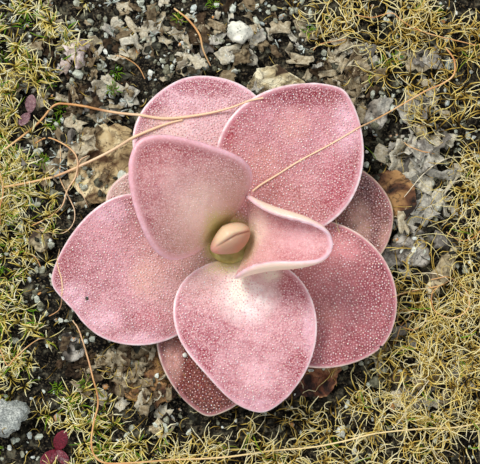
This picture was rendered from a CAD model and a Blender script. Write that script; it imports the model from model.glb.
import math
from dataclasses import dataclass

import bmesh
import bpy
import numpy as np
from mathutils import Matrix, Vector, bvhtree, kdtree, noise

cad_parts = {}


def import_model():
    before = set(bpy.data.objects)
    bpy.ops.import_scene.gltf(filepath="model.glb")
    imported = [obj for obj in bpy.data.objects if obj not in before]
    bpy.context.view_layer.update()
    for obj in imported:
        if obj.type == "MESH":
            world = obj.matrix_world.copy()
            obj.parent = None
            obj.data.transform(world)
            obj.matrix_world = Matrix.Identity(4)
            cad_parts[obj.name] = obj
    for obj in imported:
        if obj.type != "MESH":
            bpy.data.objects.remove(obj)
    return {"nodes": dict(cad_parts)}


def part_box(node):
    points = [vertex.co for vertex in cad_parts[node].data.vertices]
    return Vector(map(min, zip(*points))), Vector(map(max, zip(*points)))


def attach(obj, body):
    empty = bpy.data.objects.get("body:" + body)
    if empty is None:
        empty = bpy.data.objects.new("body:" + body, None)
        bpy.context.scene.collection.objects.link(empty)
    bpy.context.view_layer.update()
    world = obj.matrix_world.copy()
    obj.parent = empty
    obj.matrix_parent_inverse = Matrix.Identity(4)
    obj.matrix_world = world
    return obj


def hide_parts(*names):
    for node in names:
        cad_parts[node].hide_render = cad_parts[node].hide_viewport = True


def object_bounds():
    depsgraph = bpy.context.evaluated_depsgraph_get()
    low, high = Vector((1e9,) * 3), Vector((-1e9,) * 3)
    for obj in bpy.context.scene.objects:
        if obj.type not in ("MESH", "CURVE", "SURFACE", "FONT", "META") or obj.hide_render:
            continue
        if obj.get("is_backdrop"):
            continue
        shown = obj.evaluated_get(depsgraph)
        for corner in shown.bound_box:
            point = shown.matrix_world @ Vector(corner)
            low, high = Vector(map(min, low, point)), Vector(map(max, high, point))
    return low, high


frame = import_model()
cad_low, cad_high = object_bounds()
scene = bpy.context.scene
scene.view_settings.view_transform = "Standard"

# ---------------------------------------------------------------------------------------------
# The stand: a pale floor and soft daylight from the back left, seen from almost straight above.
# The camera looks down on the middle of the rosette.
# ---------------------------------------------------------------------------------------------
VIEW_ELEVATION = math.radians(86)
VIEW_DISTANCE = 0.350
FLOOR_HALF = 2.0
FLOOR_DROP = 0.0002  # how far the floor is under the pot, so that the two don't share a surface
view_centre = Vector((0.0019, 0.0019, 0.075))

camera = bpy.data.objects.new("camera", bpy.data.cameras.new("camera"))
camera.data.lens = 150
camera.data.sensor_width = 36
camera.data.clip_start = 0.01
view_back = Vector((0.0, -math.cos(VIEW_ELEVATION), math.sin(VIEW_ELEVATION)))
camera.location = view_centre + view_back * VIEW_DISTANCE
camera.rotation_euler = (math.pi / 2 - VIEW_ELEVATION, 0.0, 0.0)
scene.collection.objects.link(camera)
scene.camera = camera


def softbox(name, place, size, power, colour=(1.0, 1.0, 1.0)):
    """A square lamp that faces the plant."""
    lamp = bpy.data.lights.new(name, "AREA")
    lamp.size = size
    lamp.energy = power
    lamp.color = colour
    obj = bpy.data.objects.new(name, lamp)
    obj.location = place
    obj.rotation_euler = (view_centre - obj.location).to_track_quat("-Z", "Y").to_euler()
    scene.collection.objects.link(obj)


softbox("sky_back_left", Vector((-0.42, 0.48, 0.80)), 0.42, 8.6, (1.0, 0.98, 0.94))
softbox("fill_front_right", Vector((0.60, -0.50, 0.55)), 0.60, 2.2, (0.94, 0.97, 1.0))


def add(tree, kind, sockets=None, **settings):
    """A new node: its settings, and a value or another node's output for each named socket."""
    node = tree.nodes.new(kind)
    for name, value in settings.items():
        setattr(node, name, value)
    for name, value in (sockets or {}).items():
        if isinstance(value, bpy.types.NodeSocket):
            tree.links.new(value, node.inputs[name])
        else:
            node.inputs[name].default_value = value
    return node


world = bpy.data.worlds.new("studio")
world.use_nodes = True
scene.world = world
sky = world.node_tree
sky.nodes.clear()
rays = add(sky, "ShaderNodeLightPath")
straight = {0: rays.outputs["Is Camera Ray"], 1: rays.outputs["Is Transmission Ray"]}
seen = add(sky, "ShaderNodeMath", straight, operation="MAXIMUM")
soft_light = add(sky, "ShaderNodeBackground", {"Color": (0.93, 0.96, 1.0, 1.0), "Strength": 0.58})
backdrop = add(sky, "ShaderNodeBackground", {"Color": (0.94, 0.94, 0.94, 1.0), "Strength": 1.0})
shares = {0: seen.outputs[0], 1: soft_light.outputs[0], 2: backdrop.outputs[0]}
either = add(sky, "ShaderNodeMixShader", shares)
add(sky, "ShaderNodeOutputWorld", {"Surface": either.outputs[0]})


def new_material(name, roughness, specular=0.5):
    """A Principled material: itself, its node tree and its shader."""
    material = bpy.data.materials.new(name)
    material.use_nodes = True
    shader = material.node_tree.nodes["Principled BSDF"]
    shader.inputs["Roughness"].default_value = roughness
    shader.inputs["Specular IOR Level"].default_value = specular
    return material, material.node_tree, shader


def finished(bm, name):
    """A bmesh as a mesh."""
    mesh = bpy.data.meshes.new(name)
    bm.to_mesh(mesh)
    bm.free()
    return mesh


bm = bmesh.new()
bmesh.ops.create_grid(bm, x_segments=1, y_segments=1, size=FLOOR_HALF)
floor_mesh = finished(bm, "floor")
floor = bpy.data.objects.new("floor", floor_mesh)
floor.location.z = cad_low.z - FLOOR_DROP
scene.collection.objects.link(floor)
floor_paint, tree, shader = new_material("pale floor", 0.9)
shader.inputs["Base Color"].default_value = (0.78, 0.77, 0.75, 1.0)
floor_mesh.materials.append(floor_paint)
floor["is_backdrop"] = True

# ---------------------------------------------------------------------------------------------
# The pot: a plain half pot of fired red clay, thrown on a wheel, with a thick band under its rim
# and a drain hole. Lime from hard water has dried out on it in pale patches, most of all on the band.
# ---------------------------------------------------------------------------------------------
POT_MOUTH_RADIUS = 0.064
POT_BAND_HEIGHT = 0.017
POT_SHOULDER_RADIUS = 0.0655
POT_FOOT_RADIUS = 0.0495
POT_WALL = 0.0055
POT_FLOOR = 0.006
POT_ROUNDING = 0.0012
DRAIN_RADIUS = 0.006
THROWING_LINES = 16  # faint rings left by the potter's fingers, on the wall below the band
THROWING_DEPTH = 0.00004
THROWING_CUTS = 28
POT_SPIN_STEPS = 144
pot_low, pot_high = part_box("pot")
pot_height = pot_high.z - pot_low.z
pot_rim_radius = pot_high.x


def inner_radius(height):
    """The pot's inner wall, a straight taper from the mouth to the floor."""
    foot = POT_FOOT_RADIUS - POT_WALL
    return foot + (POT_MOUTH_RADIUS - foot) * (height - POT_FLOOR) / (pot_height - POT_FLOOR)


def srgb(red, green, blue):
    """A colour as it shows on screen, each part from 0 to 255, as the linear colour that nodes take."""
    parts = [part / 255 for part in (red, green, blue)]
    linear = [part / 12.92 if part <= 0.04 else ((part + 0.055) / 1.055) ** 2.4 for part in parts]
    return (*linear, 1.0)


def place_of(tree):
    return add(tree, "ShaderNodeTexCoord").outputs["Object"]


def cloud(tree, size, detail=3.0, where=None, distortion=0.0):
    """Soft random variation with features of this size in metres."""
    sockets = {"Vector": where or place_of(tree), "Scale": 1.0 / size}
    sockets |= {"Detail": detail, "Distortion": distortion}
    return add(tree, "ShaderNodeTexNoise", sockets).outputs["Fac"]


def cells(tree, size, feature="F1", where=None):
    """Distance from the nearest of random points that stand about this far apart, in metres."""
    sockets = {"Vector": where or place_of(tree), "Scale": 1.0 / size}
    return add(tree, "ShaderNodeTexVoronoi", sockets, feature=feature).outputs["Distance"]


def between(tree, value, low, high, to_low=0.0, to_high=1.0):
    """Where value goes from low to high, this goes from to_low to to_high."""
    sockets = {"Value": value, "From Min": low, "From Max": high, "To Min": to_low, "To Max": to_high}
    return add(tree, "ShaderNodeMapRange", sockets).outputs["Result"]


def blended(tree, share, first, second, blend_type="MIX"):
    """The first colour where share is 0 and the second where it is 1."""
    sockets = {"Fac": share, "Color1": first, "Color2": second}
    return add(tree, "ShaderNodeMixRGB", sockets, blend_type=blend_type).outputs["Color"]


def calc(tree, operation, first, second=0.0):
    return add(tree, "ShaderNodeMath", {0: first, 1: second}, operation=operation).outputs["Value"]


def ramp(tree, value, *stops):
    """A colour ramp through (position, colour) stops."""
    node = add(tree, "ShaderNodeValToRGB", {"Fac": value})
    elements = node.color_ramp.elements
    while len(elements) < len(stops):
        elements.new(0.5)
    for element, (position, colour) in zip(elements, stops):
        element.position = position
        element.color = colour
    return node.outputs["Color"]


def relief(tree, shader, *layers):
    """Bumps on the surface, from (value, height in metres) layers."""
    normal = None
    for value, height in layers:
        node = add(tree, "ShaderNodeBump", {"Height": value, "Distance": height, "Strength": 1.0})
        if normal:
            tree.links.new(normal, node.inputs["Normal"])
        normal = node.outputs["Normal"]
    tree.links.new(normal, shader.inputs["Normal"])


def paint(tree, shader, colour, socket="Base Color"):
    tree.links.new(colour, shader.inputs[socket])


def make_piece(name, mesh, material, slot, *stands_for, smooth=True):
    """Shows a finished mesh as a piece that rides with the pot, in place of CAD nodes."""
    if isinstance(mesh, bmesh.types.BMesh):
        mesh = finished(mesh, name)
    mesh.name = name
    mesh.materials.clear()
    mesh.materials.append(material)
    if smooth:
        mesh.shade_smooth()
    obj = bpy.data.objects.new(name, mesh)
    scene.collection.objects.link(obj)
    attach(obj, "root")
    if stands_for:
        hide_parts(*stands_for)
    return obj


def turned(profile, steps):
    """A closed solid of revolution about Z from (radius, height) points."""
    bm = bmesh.new()
    verts = [bm.verts.new((radius, 0.0, height)) for radius, height in profile]
    edges = [bm.edges.new(pair) for pair in zip(verts, verts[1:] + verts[:1])]
    on_axis = [edge for edge in edges if all(vert.co.x == 0.0 for vert in edge.verts)]
    bmesh.ops.delete(bm, geom=on_axis, context="EDGES")
    bmesh.ops.spin(
        bm, geom=bm.verts[:] + bm.edges[:], cent=(0, 0, 0), axis=(0, 0, 1),
        angle=math.tau, steps=steps, use_merge=True,
    )
    bmesh.ops.remove_doubles(bm, verts=bm.verts, dist=1e-6)
    bmesh.ops.recalc_face_normals(bm, faces=bm.faces)
    return bm


def rounded(corner, before, after, radius, steps=4):
    """The corner of a profile, between its neighbours, as a few points on a smooth curve."""
    corner, before, after = Vector(corner), Vector(before), Vector(after)
    start = corner + (before - corner).normalized() * min(radius, (before - corner).length * 0.45)
    end = corner + (after - corner).normalized() * min(radius, (after - corner).length * 0.45)
    turns = [i / steps for i in range(steps + 1)]
    return [tuple(start.lerp(corner, t).lerp(corner.lerp(end, t), t)) for t in turns]


band_foot = pot_height - POT_BAND_HEIGHT
corners = [
    (DRAIN_RADIUS, 0.0),
    (POT_FOOT_RADIUS, 0.0),
    (POT_SHOULDER_RADIUS, band_foot),
    (pot_rim_radius - 0.001, band_foot),
    (pot_rim_radius, pot_height),
    (POT_MOUTH_RADIUS, pot_height),
    (inner_radius(POT_FLOOR), POT_FLOOR),
    (DRAIN_RADIUS, POT_FLOOR),
]
profile = []
for before, corner, after in zip(corners[-1:] + corners, corners, corners[1:] + corners[:1]):
    profile += rounded(corner, before, after, POT_ROUNDING * 2)
bm = turned(profile, POT_SPIN_STEPS)
tall = [edge for edge in bm.edges if abs(edge.verts[0].co.z - edge.verts[1].co.z) > 0.010]
inner_side = POT_FOOT_RADIUS - 0.001
outside = [edge for edge in tall if min(vert.co.xy.length for vert in edge.verts) > inner_side]
bmesh.ops.subdivide_edges(bm, edges=outside, cuts=THROWING_CUTS, use_grid_fill=True)
bm.normal_update()
for vert, normal in [(vert, vert.normal.copy()) for vert in bm.verts]:
    outward = Vector((vert.co.x, vert.co.y, 0.0)).normalized()
    if normal.dot(outward) > 0.5:
        below_band = vert.co.z < band_foot
        line = math.sin(vert.co.z / band_foot * math.tau * THROWING_LINES) if below_band else 0.0
        wobble = noise.noise(vert.co * 60) * 0.00025 + noise.noise(vert.co * 400) * 0.00005
        vert.co += outward * (line * THROWING_DEPTH + min(wobble, 0.00005) - 0.00005)

terracotta, tree, shader = new_material("fired red clay", 0.88)
height = add(tree, "ShaderNodeSeparateXYZ", {"Vector": place_of(tree)}).outputs["Z"]
clay = ramp(
    tree, cloud(tree, 0.016, 5.0),
    (0.25, srgb(150, 84, 56)), (0.45, srgb(176, 102, 68)),
    (0.6, srgb(190, 116, 80)), (0.8, srgb(168, 92, 60)),
)
speckled = blended(tree, between(tree, cells(tree, 0.0016), 0.0, 0.16, 0.55, 0.0), clay, srgb(108, 62, 46))
damp = calc(tree, "MULTIPLY", between(tree, height, 0.030, 0.004, 0.0, 0.5), cloud(tree, 0.02, 4.0))
dampened = blended(tree, damp, speckled, srgb(104, 62, 44))
lime_patches = between(tree, cloud(tree, 0.011, 7.0, distortion=0.6), 0.52, 0.76, 0.0, 0.55)
lime_height = between(tree, height, band_foot - 0.015, band_foot + 0.008, 0.35, 1.0)
lime = calc(tree, "MULTIPLY", lime_patches, lime_height)
paint(tree, shader, blended(tree, lime, dampened, srgb(214, 198, 178)))
coarse, fine, pinholes = cloud(tree, 0.004, 4.0), cloud(tree, 0.0006, 3.0), cells(tree, 0.0016)
relief(tree, shader, (fine, 0.00006), (coarse, 0.00025), (pinholes, 0.00003))
make_piece("clay_pot", bm, terracotta, "terracotta", "pot")

# ---------------------------------------------------------------------------------------------
# The shard: a curved bit of an old pot over the drain hole, which keeps the mix in. It is hidden
# under the mix.
# ---------------------------------------------------------------------------------------------
shard_node = frame["nodes"]["drainage_crock"]
shard_node.data.materials.clear()
shard_node.data.materials.append(terracotta)

# ---------------------------------------------------------------------------------------------
# The mix: dark peat and leaf mould with a crumbly top. It fills the pot round the shard and the
# plant's roots, and settles a little lower than the rim.
# ---------------------------------------------------------------------------------------------
GAP = 0.0003
MIX_RINGS = 88
MIX_SPIN_STEPS = 236
MIX_PITS = 0.0016  # depth of the holes between the lumps
MIX_LUMPS = 0.0009  # the most that a lump rises over the mix's level
SHARD_RADIUS = 0.012
SHARD_HEIGHT = 0.0073
ROOT_RADIUS = 0.003
ROOT_DEPTH = 0.010
mix_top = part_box("substrate")[1].z
mix_radius = inner_radius(mix_top) - GAP


def uneven(point, size, height):
    """Lumpiness of a surface at a point: lumps of a size, in metres, and finer ones on them."""
    return noise.fractal(point / size, 0.8, 2.2, 4) * height


profile = [(SHARD_RADIUS + GAP, POT_FLOOR + GAP), (inner_radius(POT_FLOOR) - GAP, POT_FLOOR + GAP)]
socket_radius = ROOT_RADIUS + GAP
for i in range(MIX_RINGS + 1):
    profile.append((mix_radius + (socket_radius - mix_radius) * i / MIX_RINGS, mix_top))
profile += [(socket_radius, mix_top - ROOT_DEPTH - GAP), (0.0, mix_top - ROOT_DEPTH - GAP)]
profile += [(0.0, POT_FLOOR + SHARD_HEIGHT + 2 * GAP), (SHARD_RADIUS + GAP, POT_FLOOR + 0.0046)]
bm = turned(profile, MIX_SPIN_STEPS)
for vert in bm.verts:
    if vert.co.z > mix_top - 0.0001:
        from_axis = math.hypot(vert.co.x, vert.co.y)
        from_wall = min(1.0, (mix_radius - from_axis) / 0.002)
        from_roots = min(1.0, max(0.0, from_axis - socket_radius) / 0.004)
        lumps = uneven(vert.co, 0.0026, 0.0008) + abs(uneven(vert.co, 0.0011, 0.0006)) - 0.0002
        pits = min(0.0, noise.noise(vert.co / 0.0042) + 0.12) * 2 * MIX_PITS
        vert.co.z += from_wall * from_roots * min(lumps + pits, MIX_LUMPS)

mix_material, tree, shader = new_material("dark peat", 0.95, 0.05)
peat = ramp(
    tree, cloud(tree, 0.0018, 6.0, distortion=0.5),
    (0.32, srgb(6, 6, 7)), (0.46, srgb(21, 20, 19)), (0.57, srgb(48, 45, 38)), (0.72, srgb(122, 118, 98)),
)
grit = between(tree, cells(tree, 0.0009), 0.05, 0.22, 0.65, 0.0)
grit = calc(tree, "MULTIPLY", grit, between(tree, cloud(tree, 0.004, 2.0), 0.45, 0.6, 0.0, 1.0))
flecks = between(tree, cloud(tree, 0.0004, 4.0), 0.54, 0.66, 0.0, 0.7)
flecked = blended(tree, flecks, peat, srgb(112, 100, 78))
paint(tree, shader, blended(tree, grit, flecked, srgb(164, 152, 130)))
coarse, fine, grains = cloud(tree, 0.0007, 5.0), cloud(tree, 0.0003, 4.0), cells(tree, 0.0009)
relief(tree, shader, (coarse, 0.0004), (fine, 0.0002), (grains, 0.0002))
mix_piece = make_piece("peat_mix_top", bm, mix_material, "peat_mix", "substrate")

# ---------------------------------------------------------------------------------------------
# The crown: the short green stem that the leaves stand round. It shows only in the middle, round
# the rolled young leaf.
# ---------------------------------------------------------------------------------------------
CROWN_RADIUS = 0.003
CROWN_FILL = 0.0038  # radius where it spreads between the feet of the leaves
CROWN_STEPS = 48
crown_low, crown_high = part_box("crown")
profile = [
    (0.0, crown_low.z), (CROWN_RADIUS, crown_low.z), (CROWN_RADIUS, crown_high.z - 0.0016),
    (CROWN_FILL, crown_high.z - 0.0009), (CROWN_FILL, crown_high.z - 0.0004),
    (0.92 * CROWN_FILL, crown_high.z), (0.80 * CROWN_FILL, crown_high.z + 0.0003),
    (0.60 * CROWN_FILL, crown_high.z + 0.0004), (0.0, crown_high.z + 0.0004),
]


def fleshy(shader, weight, scale):
    """Lets light into a surface, as watery plant flesh does, to a depth of about scale in metres."""
    shader.inputs["Subsurface Weight"].default_value = weight
    shader.inputs["Subsurface Scale"].default_value = scale


crown_material, tree, shader = new_material("green crown", 0.45)
mottling = cloud(tree, 0.0012, 3.0)
paint(tree, shader, ramp(tree, mottling, (0.35, srgb(158, 144, 70)), (0.65, srgb(190, 178, 108))))
relief(tree, shader, (cloud(tree, 0.0005, 3.0), 0.00008))
fleshy(shader, 0.3, 0.001)
bm = turned(profile, CROWN_STEPS)
for vert in bm.verts:
    if vert.co.z > crown_high.z - 0.0010:
        vert.co.z += uneven(vert.co, 0.0024, 0.0003)
make_piece("crown_flesh", bm, crown_material, "butterwort_leaf", "crown")

# ---------------------------------------------------------------------------------------------
# The living leaves: thick, brittle blades with a smooth raised rim. Their upper faces are rose red
# between fine pale glands, fade to cream at the crown, and their undersides are smooth and paler.
# ---------------------------------------------------------------------------------------------
RIM_WIDTH = 0.0008  # of the smooth band along the margin, which has no glands
RIM_RAISED = 0.00012
LEAF_WAVES = 0.00024  # height of the broad, shallow unevenness of the blades
PAPILLA_SPACING = 0.00042  # between the pale dots of the skin
GREEN_FOOT = (5.4, 5.8)  # half size of the green round the crown, in millimetres
rng = np.random.default_rng(7)


@dataclass
class Flesh:
    """The look of one leaf. Tones and patches are ovals, each given by its middle and half size in
    millimetres as seen from above. A tone makes the flesh paler or, below 0, redder by an amount. A
    patch blends in a colour by a share."""

    deep: tuple
    pale: tuple
    heart: tuple  # the colour near the crown
    heart_size: float  # how far it reaches, in millimetres
    tones: tuple = ()
    patches: tuple = ()
    pulls: tuple = ()  # where the margin has a corner: its place, shift and half size in millimetres
    rim_width: float = RIM_WIDTH
    rim_raised: float = RIM_RAISED
    below: tuple = srgb(228, 190, 170)
    dots: tuple = srgb(250, 226, 222)  # the pale dots of the skin
    crest: tuple = srgb(250, 232, 234)  # the thin line along the margin
    crest_share: float = 0.9
    gland_spacing: float = 0.00050
    gland_radius: float = 0.00012


CREAM = srgb(242, 236, 216)
BEIGE = srgb(224, 176, 156)
LILAC = srgb(240, 194, 210)
CRIMSON = srgb(166, 38, 62)
WINE = srgb(146, 38, 58)
flesh_of = {
    "leaf_low_left": Flesh(
        srgb(158, 114, 106), srgb(216, 186, 174), srgb(190, 166, 142), 6,
        crest=srgb(226, 206, 184), gland_spacing=0.00052,
    ),
    "leaf_low_right": Flesh(
        srgb(76, 24, 24), srgb(144, 76, 66), srgb(170, 126, 98), 12,
        patches=(
            ((22.8, 3.4), (2.6, 5.0), srgb(212, 166, 146), 0.85),
            ((27.6, 0.4), (2.0, 4.0), srgb(206, 160, 140), 0.5),
            ((26.6, 8.4), (2.6, 4.4), srgb(112, 40, 38), 0.8),
        ),
        crest=srgb(228, 204, 178), gland_radius=0.00011,
    ),
    "leaf_low_front": Flesh(
        srgb(54, 8, 6), srgb(132, 36, 24), srgb(160, 108, 80), 10,
        patches=(
            ((-9.8, -20.6), (2.2, 5.0), srgb(224, 172, 162), 0.8),
            ((-4.0, -26.5), (4.5, 3.5), srgb(96, 30, 28), 0.7),
        ),
        dots=srgb(232, 180, 156), crest=srgb(238, 220, 206),
        gland_spacing=0.00054, gland_radius=0.00011,
    ),
    "leaf_back": Flesh(
        srgb(150, 62, 82), srgb(234, 188, 200), srgb(240, 208, 198), 14,
        tones=(
            ((-4.0, 27.6), (6.5, 3.0), -0.8),
            ((-13.6, 22.0), (2.6, 5.0), -0.5),
            ((-4.0, 21.0), (5.0, 3.0), 0.25),
        ),
        patches=(
            ((-11.0, 19.4), (5.0, 4.4), srgb(238, 210, 194), 0.6),
            ((3.6, 27.4), (4.0, 2.0), LILAC, 0.3),
        ),
    ),
    "leaf_left": Flesh(
        srgb(130, 36, 52), srgb(208, 148, 158), srgb(204, 164, 144), 10,
        tones=(
            ((-22.5, 2.0), (6.0, 5.5), 0.35),
            ((-12.0, -1.5), (4.0, 3.0), -0.15),
            ((-8.8, -15.2), (3.0, 2.0), -0.2),
        ),
        patches=(
            ((-28.6, -2.0), (3.4, 6.6), srgb(148, 60, 72), 0.6),
            ((-20.8, 5.2), (4.8, 3.0), LILAC, 0.65),
            ((-14.4, -6.4), (3.8, 4.6), BEIGE, 0.55),
            ((-13.8, -13.2), (3.8, 2.8), CRIMSON, 0.5),
            ((-27.0, -9.6), (3.6, 3.4), LILAC, 0.65),
            ((-22.0, -13.4), (4.4, 2.8), LILAC, 0.6),
            ((-16.0, -17.0), (5.0, 1.8), LILAC, 0.6),
        ),
        pulls=(((-27.4, -11.6), (0.8, 0.9), 4.5),),
    ),
    "leaf_right_front": Flesh(
        srgb(110, 24, 40), srgb(190, 104, 112), srgb(212, 138, 134), 13,
        tones=(((20.5, -19.2), (6.0, 2.4), 0.2),),
        patches=(
            ((20.4, -1.4), (4.0, 2.8), srgb(234, 156, 162), 0.6),
            ((16.8, -12.4), (3.4, 2.8), srgb(178, 116, 104), 0.5),
            ((24.6, -8.6), (3.4, 5.0), WINE, 0.55),
            ((21.6, -16.0), (2.8, 2.4), WINE, 0.4),
        ),
        crest=srgb(240, 218, 206), gland_radius=0.00013,
    ),
    "leaf_right_back": Flesh(
        srgb(134, 26, 44), srgb(208, 143, 153), srgb(186, 124, 112), 11,
        tones=(
            ((12.4, 26.0), (9.0, 3.4), -0.5),
            ((14.5, 7.0), (5.0, 4.0), -0.35),
            ((17.0, 16.0), (3.4, 5.5), 0.3),
            ((9.0, 10.0), (5.0, 4.0), -0.25),
        ),
        patches=(
            ((12.8, 26.4), (11.0, 3.8), srgb(124, 26, 48), 0.9),
            ((19.0, 9.4), (4.2, 6.4), srgb(158, 40, 64), 0.8),
            ((0.0, 19.6), (2.2, 4.4), CRIMSON, 0.6),
            ((11.0, 20.0), (4.0, 4.0), srgb(212, 156, 142), 0.5),
            ((6.2, 13.8), (4.0, 4.0), srgb(200, 140, 126), 0.5),
            ((20.4, 19.8), (3.0, 6.2), LILAC, 0.75),
        ),
        rim_width=0.0010,
    ),
    "leaf_front": Flesh(
        srgb(150, 44, 64), srgb(226, 172, 180), srgb(236, 208, 192), 7,
        tones=(
            ((-5.5, -14.0), (3.6, 5.0), -0.3),
            ((2.0, -19.0), (5.0, 3.0), -0.15),
            ((6.0, -24.0), (6.0, 3.5), 0.15),
        ),
        patches=(
            ((11.6, -7.4), (4.4, 3.2), CRIMSON, 0.6),
            ((3.2, -9.6), (6.2, 5.8), srgb(252, 238, 234), 0.92),
            ((1.6, -8.0), (2.5, 5.0), CREAM, 0.95),
            ((7.4, -5.8), (2.2, 1.7), CREAM, 0.85),
            ((13.8, -15.4), (1.7, 5.4), LILAC, 0.6),
            ((4.0, -28.2), (5.4, 2.0), LILAC, 0.55),
            ((-6.4, -22.0), (1.8, 5.0), LILAC, 0.45),
            ((-1.2, -4.4), (4.6, 1.9), srgb(208, 192, 136), 0.7),
        ),
        pulls=(((-5.6, -24.4), (0.9, 0.5), 6.5),),
    ),
    "leaf_upright_left": Flesh(
        srgb(152, 66, 74), srgb(214, 152, 152), srgb(222, 190, 160), 7,
        tones=(
            ((-6.8, 16.0), (10.0, 3.2), -0.35),
            ((-14.5, 8.0), (2.2, 9.0), -0.12),
            ((-9.0, -0.6), (4.0, 2.6), -0.3),
        ),
        patches=(
            ((-4.4, 5.0), (4.6, 4.8), srgb(244, 206, 188), 0.75),
            ((-2.8, 3.4), (1.8, 2.4), srgb(204, 188, 120), 0.6),
            ((-8.6, 9.0), (3.4, 4.4), srgb(214, 164, 158), 0.5),
        ),
        pulls=(((2.0, 12.0), (1.5, 0.7), 5.5), ((-11.0, -2.0), (-0.3, -0.7), 5.0)),
        rim_width=0.0014, rim_raised=0.00034, crest=srgb(242, 192, 206), crest_share=0.75,
        gland_spacing=0.00046, gland_radius=0.00007,
    ),
    "leaf_upright_right": Flesh(
        srgb(178, 92, 98), srgb(226, 170, 174), srgb(228, 184, 172), 5,
        tones=(
            ((13.0, -0.5), (5.0, 2.5), 0.5),
            ((2.2, 6.0), (2.0, 2.0), -0.6),
            ((2.4, -3.6), (1.6, 1.8), -0.6),
            ((5.5, 4.5), (3.0, 2.0), -0.15),
        ),
        patches=(((4.4, 1.8), (3.0, 4.0), srgb(242, 214, 196), 0.9),),
        rim_width=0.0011, rim_raised=0.00026, crest=srgb(242, 212, 222), crest_share=0.8,
        below=srgb(242, 216, 194), gland_spacing=0.00046, gland_radius=0.00007,
    ),
}


def merged_copy(node_name):
    """A copy of a CAD node's mesh with its loose triangles joined at their corners."""
    bm = bmesh.new()
    bm.from_mesh(frame["nodes"][node_name].data)
    bmesh.ops.remove_doubles(bm, verts=bm.verts, dist=1e-6)
    return bm


def rings_from_top(bm):
    """For each corner of a leaf, how many rings it is away from the middle of the upper face."""
    poles = sorted(bm.verts, key=lambda vert: len(vert.link_edges))[-2:]
    start = max(poles, key=lambda vert: vert.co.z)
    rings = {start: 0}
    edge_of_known = [start]
    while edge_of_known:
        following = []
        for vert in edge_of_known:
            for edge in vert.link_edges:
                other = edge.other_vert(vert)
                if other not in rings:
                    rings[other] = rings[vert] + 1
                    following.append(other)
        edge_of_known = following
    return rings


def evaluated(mesh, kind, **settings):
    """The mesh that one modifier makes of a mesh."""
    holder = bpy.data.objects.new("holder", mesh)
    scene.collection.objects.link(holder)
    modifier = holder.modifiers.new("modifier", kind)
    for name, value in settings.items():
        setattr(modifier, name, value)
    result = bpy.data.meshes.new_from_object(holder.evaluated_get(bpy.context.evaluated_depsgraph_get()))
    bpy.data.objects.remove(holder)
    return result


def subdivided(bm, levels):
    """The mesh with its triangles paired up and smoothed by a Subdivision Surface modifier."""
    bmesh.ops.join_triangles(bm, faces=bm.faces, angle_face_threshold=1.0, angle_shape_threshold=1.4)
    return evaluated(finished(bm, "smoothing"), "SUBSURF", levels=levels, render_levels=levels)


def corners_of(mesh, count=1):
    """The corners of a mesh as an array, by copy."""
    spots = np.empty(len(mesh.vertices) * 3)
    mesh.vertices.foreach_get("co", spots)
    return spots.reshape(count, -1, 3)


def normals_of(mesh):
    """The surface's direction at each corner of a mesh, as an array."""
    normals = np.empty(len(mesh.vertices) * 3)
    mesh.vertex_normals.foreach_get("vector", normals)
    return normals.reshape(-1, 3)


def values_of(mesh, name):
    """An attribute's value at each corner of a mesh, as an array."""
    values = np.empty(len(mesh.vertices))
    mesh.attributes[name].data.foreach_get("value", values)
    return values


def add_values(mesh, name, values):
    attribute = mesh.attributes.new(name, "FLOAT", "POINT")
    attribute.data.foreach_set("value", np.asarray(values, dtype=np.float32).ravel())


def move_corners(mesh, spots):
    mesh.vertices.foreach_set("co", spots.astype(np.float32).ravel())
    mesh.update()


def search_tree(mesh):
    """A mesh as a tree that rays can be cast on."""
    faces = [face.vertices[:] for face in mesh.polygons]
    return bvhtree.BVHTree.FromPolygons(corners_of(mesh)[0].tolist(), faces)


def smooth_leaf(node_name, levels, flesh):
    """A fine copy of a CAD leaf that knows, at each point, its face and its distance from the margin.
    Attribute face is 1 on the middle of the upper face, 0 on the margin and -1 below."""
    bm = merged_copy(node_name)
    face = bm.verts.layers.float.new("face")
    rings = rings_from_top(bm)
    furthest = max(rings.values())
    for vert, ring in rings.items():
        vert[face] = 1.0 - 2.0 * ring / furthest
    mesh = subdivided(bm, levels)
    spots = corners_of(mesh)[0]
    for place, shift, half in flesh.pulls:
        from_corner = np.hypot(*(spots[:, :2] - np.array(place) / 1000).T)
        spots[:, :2] += np.exp(-((1000 * from_corner / half) ** 2))[:, None] * np.array(shift) / 1000
    side = values_of(mesh, "face")
    on_margin = np.flatnonzero(abs(side) < 0.01)
    margin = kdtree.KDTree(len(on_margin))
    for i in on_margin:
        margin.insert(spots[i], int(i))
    margin.balance()
    away = np.array([margin.find(spot)[2] for spot in spots])
    add_values(mesh, "inside", away)
    rim = np.exp(-(((away - 0.45 * flesh.rim_width) / (0.42 * flesh.rim_width)) ** 2)) * flesh.rim_raised
    rim *= np.select([side > 0.01, side < -0.01], [1.0, 0.5], 0.0)
    waves = np.array([noise.noise(Vector((x, y, 0.0)) * 170) for x, y, z in spots]) * LEAF_WAVES
    lift = normals_of(mesh) * rim[:, None]
    lift[:, 2] += waves * np.minimum(1.0, away / 0.004)
    move_corners(mesh, spots + lift)
    return mesh


def spot(tree, where, middle, half):
    """1 in the middle of a soft-edged oval and 0 outside it, its middle and half size in millimetres."""
    shift = {0: where, 1: (middle[0] / 1000, middle[1] / 1000, 0.0)}
    shifted = add(tree, "ShaderNodeVectorMath", shift, operation="SUBTRACT").outputs["Vector"]
    squeeze = {0: shifted, 1: (1000 / half[0], 1000 / half[1], 0.0)}
    squeezed = add(tree, "ShaderNodeVectorMath", squeeze, operation="MULTIPLY").outputs["Vector"]
    distance = add(tree, "ShaderNodeVectorMath", {0: squeezed}, operation="LENGTH").outputs["Value"]
    return between(tree, distance, 0.15, 1.0, 1.0, 0.0)


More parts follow.
